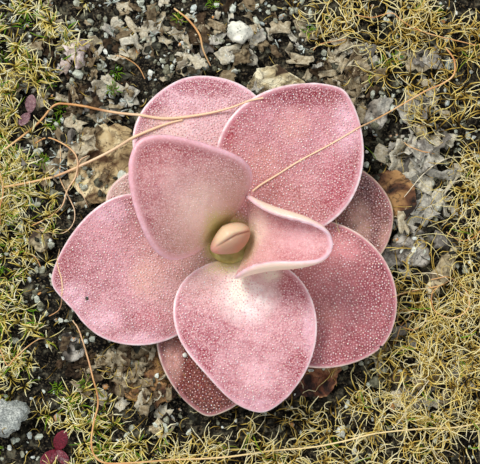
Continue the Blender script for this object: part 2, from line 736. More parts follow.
def stored(tree, name):
    """A value that is kept at each corner of the piece's mesh."""
    return add(tree, "ShaderNodeAttribute", attribute_name=name).outputs["Fac"]


def leaf_material(name, flesh):
    """Leaf flesh: deep near the margin, pale in the middle, and its heart's colour at the crown."""
    material, tree, shader = new_material(name, 0.42)
    where = place_of(tree)
    face, inside = stored(tree, "face"), stored(tree, "inside")
    tone = between(tree, inside, 0.0008, 0.0065, 0.26, 0.62)
    for middle, half, amount in flesh.tones:
        tone = calc(tree, "ADD", tone, calc(tree, "MULTIPLY", spot(tree, where, middle, half), amount))
    for size, height in ((0.0060, 0.24), (0.0016, 0.16), (0.00055, 0.20)):
        mottling = between(tree, cloud(tree, size, 2.0, where), 0.30, 0.70, -height, height)
        tone = calc(tree, "ADD", tone, mottling)
    colour = blended(tree, between(tree, tone, 0.0, 1.0), flesh.deep, flesh.pale)
    near = spot(tree, where, (0.0, 0.0), (2 * flesh.heart_size, 2 * flesh.heart_size))
    colour = blended(tree, between(tree, near, 0.0, 1.0, 0.0, 0.85), colour, flesh.heart)
    for middle, half, shade, share in flesh.patches:
        broken = between(tree, cloud(tree, 0.0014, 3.0, where), 0.32, 0.58, 0.4, 1.0)
        patch = between(tree, spot(tree, where, middle, half), 0.0, 0.7, 0.0, share)
        colour = blended(tree, calc(tree, "MULTIPLY", patch, broken), colour, shade)
    papillae = between(tree, cells(tree, PAPILLA_SPACING, where=where), 0.22, 0.42, 0.62, 0.0)
    off_ridge = calc(tree, "ABSOLUTE", calc(tree, "SUBTRACT", cloud(tree, 0.00045, 2.0, where), 0.5))
    papillae = calc(tree, "MAXIMUM", papillae, between(tree, off_ridge, 0.01, 0.06, 0.38, 0.0))
    bright = blended(tree, 0.38, flesh.pale, flesh.dots)
    colour = blended(tree, papillae, colour, bright)
    rim = between(tree, inside, 0.60 * flesh.rim_width, 1.15 * flesh.rim_width, 0.6, 0.0)
    colour = blended(tree, rim, colour, blended(tree, 0.35, flesh.pale, srgb(238, 186, 198)))
    crest = between(tree, inside, 0.26 * flesh.rim_width, 0.58 * flesh.rim_width, flesh.crest_share, 0.0)
    crest = calc(tree, "MULTIPLY", crest, between(tree, cloud(tree, 0.0012, 3.0, where), 0.35, 0.6, 0.5, 1.0))
    colour = blended(tree, crest, colour, flesh.crest)
    below = between(tree, face, -0.02, -0.25)
    colour = blended(tree, below, colour, flesh.below)
    green = between(tree, spot(tree, where, (0.0, 0.0), GREEN_FOOT), 0.0, 0.6, 0.0, 0.9)
    colour = blended(tree, green, colour, srgb(190, 178, 92))
    paint(tree, shader, colour)
    rough = calc(tree, "SUBTRACT", 1.0, calc(tree, "MAXIMUM", rim, below))
    pitted = calc(tree, "MULTIPLY", cells(tree, PAPILLA_SPACING, where=where), rough)
    relief(tree, shader, (pitted, -0.00008), (cloud(tree, 0.0016, 2.0, where), 0.00008))
    paint(tree, shader, between(tree, rim, 0.0, 0.8, 0.46, 0.28), "Roughness")
    fleshy(shader, 0.12, 0.0006)
    shader.inputs["Subsurface Radius"].default_value = (1.0, 0.45, 0.35)
    return material


leaf_meshes = {}
for name, flesh in flesh_of.items():
    leaf_meshes[name] = smooth_leaf(name, 2, flesh)
    material = leaf_material(name.replace("_", " "), flesh)
    make_piece(name.replace("leaf", "blade"), leaf_meshes[name], material, "butterwort_leaf", name)
leaf_trees = [search_tree(mesh) for mesh in leaf_meshes.values()]

# ---------------------------------------------------------------------------------------------
# The glands: each a short stalk with a clear drop of glue on it, a fifth of a millimetre across.
# They cover the upper faces closely and leave the rims free. Upper leaves have them closer together.
# ---------------------------------------------------------------------------------------------
GLAND_SEARCH = 10  # tries for each gland that finds room
GLAND_CROWDING = 0.86  # nearest neighbours, as a share of the mean distance
GLAND_LIFT = 0.6  # height of the drops' middles over the skin, in radii
BARE_FOOT = 0.0045  # radius round the axis where the leaves have no glands


def random_on(mesh, count, wanted=None):
    """Random points of a mesh's surface, spread evenly, and the surface's directions there."""
    mesh.calc_loop_triangles()
    triangles = np.empty(len(mesh.loop_triangles) * 3, dtype=np.int32)
    mesh.loop_triangles.foreach_get("vertices", triangles)
    triangles = triangles.reshape(-1, 3)
    spots = corners_of(mesh)[0]
    a, b, c = (spots[triangles[:, i]] for i in range(3))
    normal = np.cross(b - a, c - a)
    area = np.linalg.norm(normal, axis=1)
    chance = area if wanted is None else area * wanted[triangles].mean(axis=1)
    pick = rng.choice(len(triangles), count, p=chance / chance.sum())
    u, v = rng.random((2, count, 1))
    flip = u + v > 1
    u, v = np.where(flip, 1 - u, u), np.where(flip, 1 - v, v)
    points = a[pick] + u * (b[pick] - a[pick]) + v * (c[pick] - a[pick])
    return points, normal[pick] / area[pick][:, None]


def spaced(points, distance):
    """Which of the points to keep so that none is closer to another than the distance."""
    tree = kdtree.KDTree(len(points))
    for i, point in enumerate(points):
        tree.insert(point, i)
    tree.balance()
    free = np.ones(len(points), dtype=bool)
    for i, point in enumerate(points):
        if free[i]:
            for _, j, _ in tree.find_range(point, distance):
                free[j] = j == i
    return np.flatnonzero(free)


def across(direction):
    """Two directions at right angles to each of an array of directions, and to each other."""
    helper = np.where(abs(direction[:, 2:]) < 0.9, [0.0, 0.0, 1.0], [1.0, 0.0, 0.0])
    side = np.cross(direction, helper)
    side /= np.linalg.norm(side, axis=1)[:, None]
    return side, np.cross(direction, side)


def copies_of(template, count):
    """A mesh that holds a number of copies of the template, one after another, all in one place."""
    return evaluated(template, "ARRAY", use_relative_offset=False, count=count)


def scattered(template, points, up, sizes):
    """One mesh with a copy of the template at each point, standing along up, at its own size."""
    mesh = copies_of(template, len(points))
    shape = corners_of(mesh, len(points)) * np.asarray(sizes).reshape(len(points), 1, -1)
    side, other = across(up)
    placed = points[:, None] + shape[..., :1] * side[:, None] + shape[..., 1:2] * other[:, None]
    move_corners(mesh, placed + shape[..., 2:] * up[:, None])
    return mesh


bm = bmesh.new()
bmesh.ops.create_icosphere(bm, subdivisions=1, radius=1.0)
min(bm.verts, key=lambda vert: vert.co.z).co.z = -2.2
gland_shape = finished(bm, "gland")

gland_material, tree, shader = new_material("drop of glue", 0.16)
glue_shades = (0.0, srgb(226, 172, 176)), (0.6, srgb(242, 206, 208)), (1.0, srgb(252, 236, 234))
paint(tree, shader, ramp(tree, stored(tree, "tint"), *glue_shades))
fleshy(shader, 0.3, 0.0003)

for name, flesh in flesh_of.items():
    mesh = leaf_meshes[name]
    glandular = (values_of(mesh, "face") > 0.1) & (values_of(mesh, "inside") > flesh.rim_width)
    area = sum(polygon.area for polygon in mesh.polygons) / 2
    tries = int(GLAND_SEARCH * area / flesh.gland_spacing**2)
    points, up = random_on(mesh, tries, glandular)
    outside_crown = np.hypot(points[:, 0], points[:, 1]) > BARE_FOOT
    points, up = points[outside_crown], up[outside_crown]
    kept = spaced(points, flesh.gland_spacing * GLAND_CROWDING)
    points, up = points[kept], up[kept]
    sizes = flesh.gland_radius * rng.uniform(0.65, 1.3, len(points))
    glands = scattered(gland_shape, points + up * GLAND_LIFT * flesh.gland_radius, up, sizes)
    add_values(glands, "tint", np.repeat(rng.random(len(points)), len(gland_shape.vertices)))
    make_piece(name.replace("leaf", "glands"), glands, gland_material, "butterwort_leaf")

# ---------------------------------------------------------------------------------------------
# The youngest leaf: still rolled up from both margins, one over the other, so that a slit runs
# along its top. It is peach-coloured, with a pink tip that points forward and to the left.
# ---------------------------------------------------------------------------------------------
BUD_HEADING = math.radians(211)
BUD_SIZE = (0.0038, 0.0026, 0.0029)  # half its length, width and height
BUD_STEP = 0.16  # height of the upper margin over the lower one, as a share of the bud's
BUD_FACES = (64, 48)


def bud_seam(x):
    """Where the upper margin lies across the bud, from -1 to 1, at a share x of its half length."""
    return 0.06 - 0.22 * np.clip((-x - 0.30) / 0.55, 0.0, 1.0)


bud_low, bud_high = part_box("leaf_bud")
bud_middle = (bud_low + bud_high) / 2
bm = bmesh.new()
bmesh.ops.create_uvsphere(bm, u_segments=BUD_FACES[0], v_segments=BUD_FACES[1], radius=1.0)
bmesh.ops.rotate(bm, verts=bm.verts, cent=(0, 0, 0), matrix=Matrix.Rotation(math.radians(90), 3, "Y"))
bud_mesh = finished(bm, "rolled leaf")
x, y, z = corners_of(bud_mesh)[0].T
slim = 1.0 - 0.34 * np.clip(x, 0.0, 1.0) - 0.08 * np.clip(-x, 0.0, 1.0)
past_seam = -y - bud_seam(x)
over = 1 / (1 + np.exp(-past_seam / 0.045))
on_top = np.clip(z * 2.2, 0.0, 1.0) * np.clip((0.86 - x) / 0.3, 0.0, 1.0)
groove = np.exp(-(((past_seam + 0.07) / 0.08) ** 2))
rise = 1.0 + BUD_STEP * (over - 0.7) * on_top - 0.10 * groove * on_top
shape = np.stack((x * BUD_SIZE[0], y * slim * rise * BUD_SIZE[1], z * slim * rise * BUD_SIZE[2]), axis=1)
facing = np.array(Matrix.Rotation(BUD_HEADING, 3, "Z").transposed())
move_corners(bud_mesh, shape @ facing + np.array(bud_middle) + [0.0001, -0.0001, 0.0])
bud_values = {"groove": groove * on_top, "over": over, "ahead": x, "height": z}
for name, values in bud_values.items():
    add_values(bud_mesh, name, values)

bud_material, tree, shader = new_material("rolled young leaf", 0.42)
groove, over, ahead, height = (stored(tree, name) for name in bud_values)
bud_colour = blended(tree, over, srgb(188, 148, 121), srgb(224, 197, 163))
bud_colour = blended(tree, between(tree, height, 0.75, 0.20, 0.0, 0.6), bud_colour, srgb(191, 153, 119))
bud_colour = blended(tree, between(tree, ahead, 0.45, 0.85, 0.0, 0.65), bud_colour, srgb(218, 150, 138))
bud_colour = blended(tree, between(tree, height, 0.10, -0.45), bud_colour, srgb(172, 154, 92))
seam = between(tree, groove, 0.20, 0.95, 0.0, 0.85)
seam = calc(tree, "MULTIPLY", seam, between(tree, ahead, 0.10, 0.65, 1.0, 0.15))
paint(tree, shader, blended(tree, seam, bud_colour, srgb(150, 84, 62)))
relief(tree, shader, (cloud(tree, 0.0006, 3.0), 0.00003))
fleshy(shader, 0.25, 0.0008)
make_piece("rolled_leaf", bud_mesh, bud_material, "butterwort_leaf", "leaf_bud")

# ---------------------------------------------------------------------------------------------
# Withered leaves: last season's, dried to a crumpled skin with torn margins, brown veins and
# stains, flat on the mix round the rosette.
# ---------------------------------------------------------------------------------------------
ground_trees = [search_tree(mix_piece.data)]
# without a seed, Blender starts these folds from the clock, and they differ from run to run
FOLD_SEED = 3
noise.seed_set(FOLD_SEED)


def crumpled(node_name, levels, size, height):
    """A CAD sheet, subdivided and crumpled, its margin torn. Both faces move together."""
    mesh = subdivided(merged_copy(node_name), levels)
    spots = corners_of(mesh)[0]
    flat = [Vector((x, y, 0.0)) for x, y, z in spots]
    folds = np.array([noise.turbulence_vector(point / size, 4, False) for point in flat])
    tears = np.array([noise.noise_vector(point / (0.3 * size)) for point in flat])
    move_corners(mesh, spots + folds * (1.3 * height, 1.3 * height, height) + tears * (0.4 * height))
    ground_trees.append(search_tree(mesh))
    return mesh


def litter_material(name, light, middle, dark, roughness=0.9):
    """Dead plant matter: three shades in stains, with dark veins and specks."""
    material, tree, shader = new_material(name, roughness)
    where = place_of(tree)
    stains = ramp(tree, cloud(tree, 0.0034, 7.0, where, 0.6), (0.36, dark), (0.47, middle), (0.60, light))
    off_vein = calc(tree, "ABSOLUTE", calc(tree, "SUBTRACT", cloud(tree, 0.0030, 4.0, where, 1.2), 0.5))
    vein = between(tree, off_vein, 0.004, 0.022, 0.55, 0.0)
    speck = between(tree, cloud(tree, 0.0005, 3.0, where), 0.60, 0.68, 0.0, 0.85)
    speck = calc(tree, "MULTIPLY", speck, between(tree, cloud(tree, 0.0030, 2.0, where), 0.46, 0.56))
    marks = calc(tree, "MAXIMUM", vein, speck)
    paint(tree, shader, blended(tree, marks, stains, dark))
    relief(tree, shader, (cloud(tree, 0.0009, 5.0, where), 0.0004), (marks, -0.00012))
    return material


skin_beige = litter_material("beige dead leaf", srgb(236, 228, 196), srgb(204, 188, 146), srgb(74, 54, 36))
skin_tan = litter_material("tan dead leaf", srgb(222, 206, 164), srgb(184, 160, 116), srgb(84, 56, 34))
skin_brown = litter_material("brown dead leaf", srgb(164, 124, 78), srgb(100, 64, 40), srgb(30, 20, 14))
skin_red = litter_material("reddish dead leaf", srgb(190, 144, 100), srgb(122, 70, 48), srgb(42, 26, 22))
withered = {
    "withered_leaf_left": (skin_tan, 0.0006),
    "withered_leaf_back": (skin_beige, 0.0008),
    "withered_leaf_right": (skin_brown, 0.0006),
    "withered_leaf_front_right": (skin_red, 0.0008),
    "withered_leaf_front_left": (skin_brown, 0.0008),
}  # the skin, and the height of its folds
for name, (skin, height) in withered.items():
    mesh = crumpled(name, 2, 0.0030, height)
    make_piece(name.replace("withered_leaf", "dead_leaf"), mesh, skin, "dry_leaf", name)

# ---------------------------------------------------------------------------------------------
# Bark and stones: chips of pine bark weathered grey and beige, two chalky white pebbles, and a grey
# porous one. They lie loose on the mix.
# ---------------------------------------------------------------------------------------------
def weathered(node_name, levels, lumps, height):
    """A copy of a CAD node, subdivided, with its surface roughened along its own directions."""
    mesh = subdivided(merged_copy(node_name), levels)
    spots = corners_of(mesh)[0]
    rise = np.array([uneven(Vector(spot), lumps, height) for spot in spots])
    move_corners(mesh, spots + normals_of(mesh) * rise[:, None])
    ground_trees.append(search_tree(mesh))
    return mesh


bark_pale = litter_material("weathered bark", srgb(212, 200, 166), srgb(164, 148, 114), srgb(66, 50, 36))
bark_grey = litter_material("grey bark", srgb(186, 180, 168), srgb(128, 120, 108), srgb(46, 40, 36))
bark = {
    "bark_chip_back": bark_pale,
    "bark_chip_back_right": bark_grey,
    "bark_chip_right": bark_grey,
    "bark_chip_front": bark_pale,
    "bark_chip_front_left": bark_grey,
    "bark_chip_left": bark_pale,
    "bark_strip_right": bark_pale,
}
for name, skin in bark.items():
    make_piece(name.replace("bark", "weathered"), weathered(name, 2, 0.0018, 0.0008), skin, "pine_bark", name)

stone_material, tree, shader = new_material("chalky stone", 0.85)
where = place_of(tree)
chalk = ramp(tree, cloud(tree, 0.002, 6.0, where), (0.35, srgb(182, 184, 172)), (0.6, srgb(236, 234, 218)))
pores = between(tree, cells(tree, 0.0006, where=where), 0.08, 0.30, 0.8, 0.0)
pores = calc(tree, "MULTIPLY", pores, between(tree, cloud(tree, 0.0012, 2.0, where), 0.44, 0.58))
paint(tree, shader, blended(tree, pores, chalk, srgb(104, 108, 104)))
relief(tree, shader, (cloud(tree, 0.0008, 5.0, where), 0.0003), (pores, -0.00025))
for name in ("stone_back", "stone_right"):
    mesh = weathered(name, 2, 0.0014, 0.0007)
    make_piece(name.replace("stone", "pebble"), mesh, stone_material, "pumice", name)

grey_stone, tree, shader = new_material("grey stone", 0.85)
where = place_of(tree)
face = ramp(tree, cloud(tree, 0.003, 4.0, where), (0.35, srgb(150, 158, 152)), (0.62, srgb(200, 204, 196)))
freckles = between(tree, cloud(tree, 0.0003, 4.0, where), 0.42, 0.62, 0.7, 0.0)
paint(tree, shader, blended(tree, freckles, face, srgb(78, 84, 84)))
relief(tree, shader, (cloud(tree, 0.0006, 5.0, where), 0.0004))
mesh = weathered("stone_front_left", 3, 0.0030, 0.0013)
make_piece("pebble_front_left", mesh, grey_stone, "pumice", "stone_front_left")

# ---------------------------------------------------------------------------------------------
# Grit and crumbs: bits of peat, bark and pumice that lie loose on the mix. They are palest and
# thickest behind the plant.
# ---------------------------------------------------------------------------------------------
GRIT = 3200
CRUMBS = 1250
BARE_OVALS = (
    (0.0082, 0.0300, 0.0056, 0.0028), (0.0298, 0.0093, 0.0040, 0.0048), (-0.0206, 0.0163, 0.0046, 0.0046),
    (0.0370, -0.0050, 0.0020, 0.0050), (0.0172, -0.0250, 0.0066, 0.0028), (0.0018, 0.0370, 0.0026, 0.0021),
    (-0.0372, -0.0303, 0.0033, 0.0031), (-0.0353, 0.0231, 0.0024, 0.0036), (-0.0300, -0.0362, 0.0036, 0.0030),
)  # middle and half size of the biggest dead leaves, stones and seedlings, in metres


def off_the_litter(places):
    """The places that are not on the biggest dead leaves, stones and seedlings, which stay bare."""
    free = np.ones(len(places), dtype=bool)
    for x, y, half_x, half_y in BARE_OVALS:
        free &= ((places[:, 0] - x) / half_x) ** 2 + ((places[:, 1] - y) / half_y) ** 2 > 1
    return places[free]


def over_mix(count, low, high, fuller=None):
    """Random points on the mix between two distances from the axis. They are twice as thick where
    fuller, a heading in degrees, points."""
    radius = np.sqrt(rng.uniform(low**2, high**2, count))
    angle = rng.uniform(0, math.tau, count)
    if fuller is not None:
        angle += 0.5 * np.sin(math.radians(fuller) - angle)
    return off_the_litter(np.stack((radius * np.cos(angle), radius * np.sin(angle)), axis=1))


def tops(points, *trees):
    """The height of the highest thing on the mix at each point."""
    found = np.full(len(points), mix_top - 0.002)
    for tree in (*ground_trees, *trees):
        for i, (x, y) in enumerate(points):
            hit = tree.ray_cast(Vector((x, y, 0.2)), Vector((0.0, 0.0, -1.0)))[0]
            if hit:
                found[i] = max(found[i], hit.z)
    return found


def random_up(count, tilt):
    """Random directions, upright where tilt is 0 and any way where it is large."""
    direction = rng.normal(0.0, tilt, (count, 3)) + [0.0, 0.0, 1.0]
    return direction / np.linalg.norm(direction, axis=1)[:, None]


def tinted_material(name, roughness, *shades):
    """One material for many bits: each takes its shade from its tint, from 0 to 1."""
    material, tree, shader = new_material(name, roughness, 0.1)
    stain = between(tree, cloud(tree, 0.0007, 4.0), 0.3, 0.7, -0.10, 0.10)
    shade = ramp(tree, calc(tree, "ADD", stored(tree, "tint"), stain), *shades)
    grain = between(tree, cloud(tree, 0.0004, 3.0), 0.3, 0.7, 0.62, 1.12)
    paint(tree, shader, blended(tree, 1.0, shade, grain, "MULTIPLY"))
    relief(tree, shader, (cloud(tree, 0.0003, 3.0), 0.00015))
    return material


crumb_material = tinted_material(
    "crumbs", 0.92,
    (0.0, srgb(16, 15, 14)), (0.22, srgb(68, 67, 58)), (0.38, srgb(134, 133, 110)),
    (0.52, srgb(188, 192, 174)), (0.66, srgb(214, 222, 206)), (0.80, srgb(244, 246, 236)),
    (0.92, srgb(176, 192, 190)), (1.0, srgb(220, 160, 96)),
)


bm = bmesh.new()
bmesh.ops.create_icosphere(bm, subdivisions=1, radius=1.0)
round_bit = finished(bm, "round bit")


def loose_bits(name, places, size, spread, limits, stretch, tilt, sunk, tints):
    """Lumps on the mix, of about a size. Stretch is the longest, middle and least size over the
    radius, sunk is the share of the radius that is under ground, and tints holds (tint, share) pairs."""
    count = len(places)
    sizes = np.clip(rng.lognormal(math.log(size), spread, count), *limits)
    choice, shares = np.transpose(tints)
    tints = rng.choice(choice, count, p=shares / shares.sum()) + rng.normal(0.0, 0.04, count)
    points = np.column_stack((places, tops(places) + sizes * (stretch[2] - sunk)))
    wide = sizes[:, None] * stretch * rng.uniform(0.75, 1.3, (count, 3))
    mesh = scattered(round_bit, points, random_up(count, tilt), wide)
    spots = corners_of(mesh, count)
    middle = spots.mean(axis=1, keepdims=True)
    move_corners(mesh, middle + (spots - middle) * rng.uniform(0.7, 1.25, (*spots.shape[:2], 1)))
    add_values(mesh, "tint", np.repeat(tints, spots.shape[1]))
    make_piece(name, mesh, crumb_material, "peat_mix", smooth=False)


loose_bits(
    "fine_grit", over_mix(GRIT, 0.014, mix_radius - 0.0006, fuller=110),
    size=0.00034, spread=0.35, limits=(0.00018, 0.0007), stretch=(1.15, 0.85, 0.7), tilt=0.7, sunk=0.3,
    tints=((0.08, 3), (0.25, 3), (0.40, 4), (0.52, 5), (0.66, 3), (0.78, 1), (0.92, 2), (1.0, 0.3)),
)
loose_bits(
    "loose_crumbs", over_mix(CRUMBS, 0.016, mix_radius - 0.0014, fuller=110),
    size=0.00060, spread=0.34, limits=(0.0004, 0.0014), stretch=(1.0, 0.8, 0.65), tilt=0.6, sunk=0.35,
    tints=((0.08, 5), (0.25, 6), (0.40, 6), (0.52, 4), (0.66, 1.6), (0.80, 0.5), (0.92, 1.2)),
)

# ---------------------------------------------------------------------------------------------
# Leaf mould: shreds of older dead leaves, grey and beige, thin and curled. They lie thickest on
# the right of the rosette and behind it, where there are also two papery scraps.
# ---------------------------------------------------------------------------------------------
SHRED_CELLS = (6, 4)
SHRED_THICKNESS = 0.000096
bm = bmesh.new()
bmesh.ops.create_grid(bm, x_segments=SHRED_CELLS[0], y_segments=SHRED_CELLS[1], size=1.0)
bmesh.ops.solidify(bm, geom=bm.faces[:], thickness=1.0)
bmesh.ops.recalc_face_normals(bm, faces=bm.faces)
shred_shape = finished(bm, "shred")

mould_material = tinted_material(
    "leaf mould", 0.9,
    (0.0, srgb(26, 21, 18)), (0.22, srgb(84, 67, 50)), (0.40, srgb(146, 129, 100)),
    (0.56, srgb(196, 184, 156)), (0.70, srgb(214, 208, 188)), (0.85, srgb(186, 182, 170)),
    (1.0, srgb(128, 122, 114)),
)


def shreds(name, places, lengths, tints, tilt=0.35, material=mould_material):
    """Thin ragged sheets, each curled and crumpled in its own way."""
    count = len(places)
    mesh = copies_of(shred_shape, count)
    shape = corners_of(mesh, count)
    u, v, w = shape[..., 0], shape[..., 1], shape[..., 2]

    def waves(across, height):
        """Random waves over the sheets."""
        turn, phase = rng.uniform(0, math.tau, (2, count, 1))
        return height * np.sin(across * (u * np.cos(turn) + v * np.sin(turn)) + phase)

    ragged = 1.0 + waves(5.0, 0.16) + waves(8.0, 0.12)
    long = lengths[:, None] / 2
    broad = long * rng.uniform(0.35, 0.8, (count, 1))
    curl = rng.uniform(0.0, 0.5, (count, 1))
    crumple = waves(2.5, 0.16) + waves(5.0, 0.12) + waves(9.0, 0.06)
    x, y = u * ragged * long, v * ragged * broad
    z = long * (crumple + curl * v**2 * 0.5 + 0.3 * curl * u**2) + w * SHRED_THICKNESS
    side, other = across(random_up(count, tilt))
    up = np.cross(side, other)
    turn = rng.uniform(0, math.tau, (count, 1))
    first = side * np.cos(turn) + other * np.sin(turn)
    second = other * np.cos(turn) - side * np.sin(turn)
    placed = np.column_stack((places, tops(places) + 0.0004))[:, None]
    for distance, direction in ((x, first), (y, second), (z, up)):
        placed = placed + distance[..., None] * direction[:, None]
    move_corners(mesh, placed)
    add_values(mesh, "tint", np.repeat(tints, shape.shape[1]))
    ground_trees.append(search_tree(mesh))
    make_piece(name, mesh, material, "dry_leaf")


def patch_of(count, middle, half):
    """Random points in an oval."""
    return off_the_litter(np.array(middle) + np.clip(rng.normal(0.0, 0.5, (count, 2)), -1, 1) * half)


# For each zone: the count, middle, half size, least and greatest length, and the tint and its spread
shred_zones = {
    "leaf_mould_right": (70, (0.0335, 0.0150), (0.0066, 0.0180), (0.0022, 0.0060), (0.80, 0.16)),
    "leaf_mould_back": (44, (0.0130, 0.0315), (0.0200, 0.0060), (0.0018, 0.0046), (0.54, 0.20)),
    "leaf_mould_left": (40, (-0.0245, 0.0190), (0.0120, 0.0120), (0.0018, 0.0046), (0.48, 0.22)),
    "leaf_mould_front": (64, (-0.0190, -0.0240), (0.0110, 0.0070), (0.0018, 0.0046), (0.38, 0.20)),
    "leaf_mould_corner": (40, (0.0340, -0.0240), (0.0080, 0.0100), (0.0016, 0.0040), (0.50, 0.30)),
    "leaf_mould_back_right": (40, (0.0210, 0.0270), (0.0060, 0.0060), (0.0020, 0.0050), (0.46, 0.16)),
    "leaf_mould_back_left": (80, (-0.0260, 0.0290), (0.0150, 0.0130), (0.0012, 0.0032), (0.38, 0.26)),
    "leaf_mould_far_back": (90, (-0.0060, 0.0370), (0.0260, 0.0070), (0.0014, 0.0036), (0.52, 0.20)),
}
for name, (count, middle, half, length, tint) in shred_zones.items():
    places = patch_of(count, middle, half)
    shreds(name, places, rng.uniform(*length, len(places)), rng.normal(*tint, len(places)))
papery = litter_material("papery skin", srgb(240, 230, 224), srgb(222, 206, 200), srgb(168, 150, 138), 0.7)
places, lengths = np.array([(-0.0262, 0.0338), (-0.0290, 0.0322)]), np.array([0.0062, 0.0040])
shreds("papery_scraps", places, lengths, np.zeros(2), 0.2, papery)

# ---------------------------------------------------------------------------------------------
# Moss: a mat of fine dry strands that grows out of cushions and thins out between them. It is
# straw-coloured and curly in front and on the right, and in short olive tufts on the left.
# ---------------------------------------------------------------------------------------------
CREEP = 0.55  # how far the mat spreads past its cushion, as a share of the cushion's half width
MOSS_GAPS = 0.0032  # size of the bare places in the mat
KINK = 0.34  # how far a strand turns off its curve at each step, in radians
ROOT_DARKER = 0.55  # tint that a strand loses at its root


def strand_shape(levels):
    """A straight tapered strand, one metre long, cut across in a number of places so that it can bend."""
    bm = bmesh.new()
    bmesh.ops.create_cone(bm, cap_ends=True, segments=3, radius1=1.0, radius2=0.35, depth=1.0)
    bmesh.ops.translate(bm, vec=(0, 0, 0.5), verts=bm.verts)
    uprights = [edge for edge in bm.edges if abs(edge.verts[0].co.z - edge.verts[1].co.z) > 0.5]
    bmesh.ops.subdivide_edges(bm, edges=uprights, cuts=levels - 1, use_grid_fill=True)
    return finished(bm, "strand")


short_strand = strand_shape(3)
strand = strand_shape(5)
long_strand = strand_shape(16)


def bent_strands(template, roots, heading, curl, lean, vary, length, width):
    """A strand at each root, and how far along it each corner of one is, from 0 to 1. A strand starts
    off at its heading and turns by about curl, in radians. Lean is its angle over the ground in degrees
    at its root and at its tip, and vary is how much both differ from strand to strand."""
    count = len(roots)
    levels = len(template.vertices) // 3 - 1
    twist = rng.normal(0, curl, (count, 1))
    lean_first, lean_last = (rng.normal(angle, spread, (count, 1)) for angle, spread in zip(lean, vary))
    length, width = rng.uniform(*length, (count, 1, 1)), rng.uniform(*width, (count, 1, 1))
    steps = np.linspace(0.0, 1.0, levels + 1)
    kinks = np.cumsum(rng.normal(0.0, KINK, (count, levels + 1)), axis=1)
    heading = heading[:, None] + twist * steps + kinks
    lean = np.radians(lean_first + (lean_last - lean_first) * steps)
    ahead = np.stack((np.cos(lean) * np.cos(heading), np.cos(lean) * np.sin(heading), np.sin(lean)), axis=-1)
    stretches = (ahead[:, 1:] + ahead[:, :-1]) / 2 * (length / levels)
    path = np.concatenate((np.zeros((count, 1, 3)), np.cumsum(stretches, axis=1)), axis=1) + roots[:, None]
    side = np.stack((-np.sin(heading), np.cos(heading), np.zeros_like(heading)), axis=-1)
    top = np.cross(ahead, side)
    mesh = copies_of(template, count)
    shape = corners_of(mesh, count)
    along = shape[0, :, 2]
    level = np.rint(along * levels).astype(int)
    around = shape[..., :1] * side[:, level] + shape[..., 1:2] * top[:, level]
    move_corners(mesh, path[:, level] + width * around)
    return mesh, along


def moss_skin(name, *shades):
    """Moss that is green at tints up to 0.12, and from dark to its palest at tints from 0.2 to 1."""
    material, tree, shader = new_material(name, 0.7, 0.1)
    living = (0.0, srgb(96, 156, 34)), (0.12, srgb(146, 158, 52)), (0.20, srgb(24, 18, 9))
    paint(tree, shader, ramp(tree, stored(tree, "tint"), *living, *shades))
    relief(tree, shader, (cloud(tree, 0.0002, 2.0), 0.00003))
    return material


straw_moss = moss_skin(
    "straw moss",
    (0.35, srgb(124, 99, 42)), (0.49, srgb(202, 168, 78)), (0.67, srgb(242, 218, 124)),
    (0.84, srgb(252, 240, 176)), (1.0, srgb(254, 244, 200)),
)
olive_moss = moss_skin(
    "olive moss",
    (0.35, srgb(116, 101, 42)), (0.49, srgb(190, 168, 76)), (0.67, srgb(238, 218, 122)),
    (0.84, srgb(252, 242, 178)), (1.0, srgb(254, 250, 214)),
)


def tint_strands(mesh, along, count, mean, spread, green):
    """Gives strands their tints: darker towards the root, and a share of the strands green all along."""
    living = rng.random((count, 1)) < green
    dry = rng.normal(mean, spread, (count, 1)) - ROOT_DARKER * (1.0 - along) ** 1.5
    fresh = rng.uniform(0.0, 0.12, (count, 1))
    add_values(mesh, "tint", np.where(living, fresh, np.clip(dry, 0.20, 1.0)))


def moss_mat(name, each, tuft, material, template, length, width, curl, lean, tint, green, bare):
    """The strands of one cushion. They stand in tufts of about the given number, and leave more of the
    cushion free where bare is larger, from -0.5 to 0.5."""
    cushion = frame["nodes"][name].data
    low_z = corners_of(cushion)[0][:, 2].min()
    points, out = random_on(cushion, 2 * each)
    points = points[out[:, 2] > 0.15][: each // tuft, :2]
    middle = corners_of(cushion)[0].mean(axis=0)[:2]
    creep = 1.0 + CREEP * rng.random((len(points), 1)) ** 1.5
    centres = middle + (points - middle) * creep
    gaps = np.array([noise.noise(Vector((x, y, 0.0)) / MOSS_GAPS) for x, y in centres])
    within = np.hypot(centres[:, 0], centres[:, 1]) < mix_radius - 0.0010
    centres = np.repeat(off_the_litter(centres[within & (gaps > bare)]), tuft, axis=0)
    count = len(centres)
    heading = rng.uniform(0, math.tau, count)
    apart = rng.uniform(0.0, 0.0005, (count, 1))
    places = centres + apart * np.column_stack((np.cos(heading), np.sin(heading)))
    height = tops(places, search_tree(cushion))
    depth = rng.uniform(0.1, 0.7, count) * np.maximum(height - low_z, 0.0003)
    roots = np.column_stack((places, height - depth))
    heading += rng.normal(0, 0.4, count)
    mesh, along = bent_strands(template, roots, heading, curl, lean, (20, 26), length, width)
    tint_strands(mesh, along, count, *tint, green)
    make_piece(name.replace("moss", "moss_strands"), mesh, material, "moss", name)


